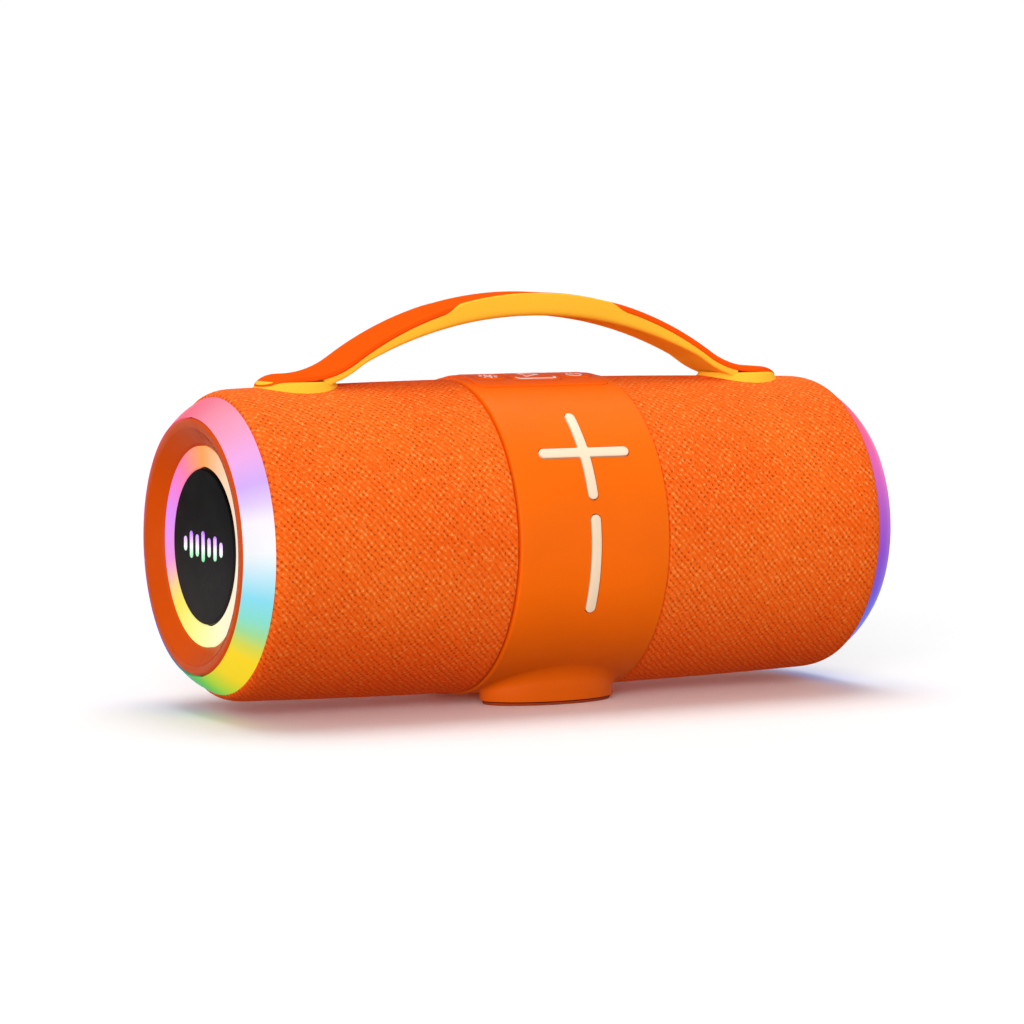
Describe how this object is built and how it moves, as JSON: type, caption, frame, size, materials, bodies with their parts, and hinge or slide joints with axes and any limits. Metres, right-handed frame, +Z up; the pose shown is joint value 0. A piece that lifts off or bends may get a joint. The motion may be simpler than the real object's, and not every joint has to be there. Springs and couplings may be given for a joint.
{
  "type": "portable bluetooth speaker",
  "caption": "Barrel-shaped portable speaker with a fabric skin, a silicone band with keys, lit rings round both ends and an arched carrying handle.",
  "frame": {"origin": "on the surface the feet stand on, under the middle of the barrel", "axes": "+Z up, +X along the barrel to the user's right, -Y the front with the volume keys"},
  "size_m": [0.239, 0.1056, 0.135],
  "materials": {
    "knit_fabric": "knitted mesh",
    "band_silicone": "satin",
    "panel_silicone": "satin",
    "end_bezel": "satin",
    "cream_key": "satin",
    "handle_orange": "satin",
    "handle_yellow": "satin",
    "light_diffuser": "translucent, lit from behind",
    "black_gloss": "gloss",
    "hard_plastic": "matte",
    "black_rubber": "matte",
    "foot_rubber": "matte",
    "steel": "plated",
    "circuit_board": "solder mask",
    "cell_sleeve": "shrink sleeve",
    "red_wire": "satin"
  },
  "bodies": {
    "speaker": {"front_shell": "hard_plastic", "rear_shell": "hard_plastic", "centre_band": "band_silicone", "volume_up_board": "circuit_board", "volume_down_board": "circuit_board", "top_panel": "panel_silicone", "top_key_board": "circuit_board", "handle_strap": "handle_orange", "handle_grip": "handle_yellow", "port_plate": "hard_plastic", "usb_c_socket": "steel", "aux_socket": "hard_plastic", "card_socket": "steel", "front_foot_pad": "foot_rubber", "rear_foot_pad": "foot_rubber", "front_battery_cell": "cell_sleeve", "rear_battery_cell": "cell_sleeve", "battery_tray": "hard_plastic", "main_board": "circuit_board", "radio_module": "circuit_board", "left_fabric_sleeve": "knit_fabric", "left_outer_light_ring": "light_diffuser", "left_end_bezel": "end_bezel", "left_inner_light_ring": "light_diffuser", "left_led_board": "circuit_board", "left_end_frame": "hard_plastic", "left_handle_anchor": "steel", "left_driver_lead": "red_wire", "left_driver_basket": "steel", "left_driver_magnet": "steel", "left_inner_handle_screw": "steel", "left_outer_handle_screw": "steel", "right_fabric_sleeve": "knit_fabric", "right_outer_light_ring": "light_diffuser", "right_end_bezel": "end_bezel", "right_inner_light_ring": "light_diffuser", "right_led_board": "circuit_board", "right_end_frame": "hard_plastic", "right_handle_anchor": "steel", "right_driver_lead": "red_wire", "right_driver_basket": "steel", "right_driver_magnet": "steel", "right_inner_handle_screw": "steel", "right_outer_handle_screw": "steel"},
    "volume_up_key": {"volume_up_key": "cream_key"},
    "volume_down_key": {"volume_down_key": "cream_key"},
    "light_key": {"light_key": "panel_silicone"},
    "play_key": {"play_key": "panel_silicone"},
    "power_key": {"power_key": "panel_silicone"},
    "port_cover": {"port_cover": "band_silicone"},
    "left_radiator": {"left_radiator_cap": "black_gloss", "left_radiator_cone": "black_rubber"},
    "left_driver_cone": {"left_driver_cone": "black_rubber"},
    "right_radiator": {"right_radiator_cap": "black_gloss", "right_radiator_cone": "black_rubber"},
    "right_driver_cone": {"right_driver_cone": "black_rubber"}
  },
  "joints": [
    {"name": "volume_up_press", "type": "slide", "parent": "speaker", "child": "volume_up_key", "axis": [0, 0.829, -0.5592], "range_m": [0, 0.0008], "stiffness_N_per_m": 400},
    {"name": "volume_down_press", "type": "slide", "parent": "speaker", "child": "volume_down_key", "axis": [0, 0.9921, 0.1253], "range_m": [0, 0.0008], "stiffness_N_per_m": 400},
    {"name": "light_press", "type": "slide", "parent": "speaker", "child": "light_key", "axis": [0, 0, -1], "range_m": [0, 0.0008], "stiffness_N_per_m": 400},
    {"name": "play_press", "type": "slide", "parent": "speaker", "child": "play_key", "axis": [0, 0, -1], "range_m": [0, 0.0008], "stiffness_N_per_m": 400},
    {"name": "power_press", "type": "slide", "parent": "speaker", "child": "power_key", "axis": [0, 0, -1], "range_m": [0, 0.0008], "stiffness_N_per_m": 400},
    {"name": "port_cover_hinge", "type": "hinge", "parent": "speaker", "child": "port_cover", "pos_m": [0, 0.0504, 0.0509], "axis": [1, 0, 0], "range_deg": [0, 90]},
    {"name": "left_radiator_stroke", "type": "slide", "parent": "speaker", "child": "left_radiator", "axis": [-1, 0, 0], "range_m": [-0.002, 0.002], "stiffness_N_per_m": 1500},
    {"name": "left_driver_stroke", "type": "slide", "parent": "speaker", "child": "left_driver_cone", "axis": [0, -1, 0], "range_m": [-0.0012, 0.0012], "stiffness_N_per_m": 1500},
    {"name": "right_radiator_stroke", "type": "slide", "parent": "speaker", "child": "right_radiator", "axis": [1, 0, 0], "range_m": [-0.002, 0.002], "stiffness_N_per_m": 1500},
    {"name": "right_driver_stroke", "type": "slide", "parent": "speaker", "child": "right_driver_cone", "axis": [0, -1, 0], "range_m": [-0.0012, 0.0012], "stiffness_N_per_m": 1500}
  ]
}
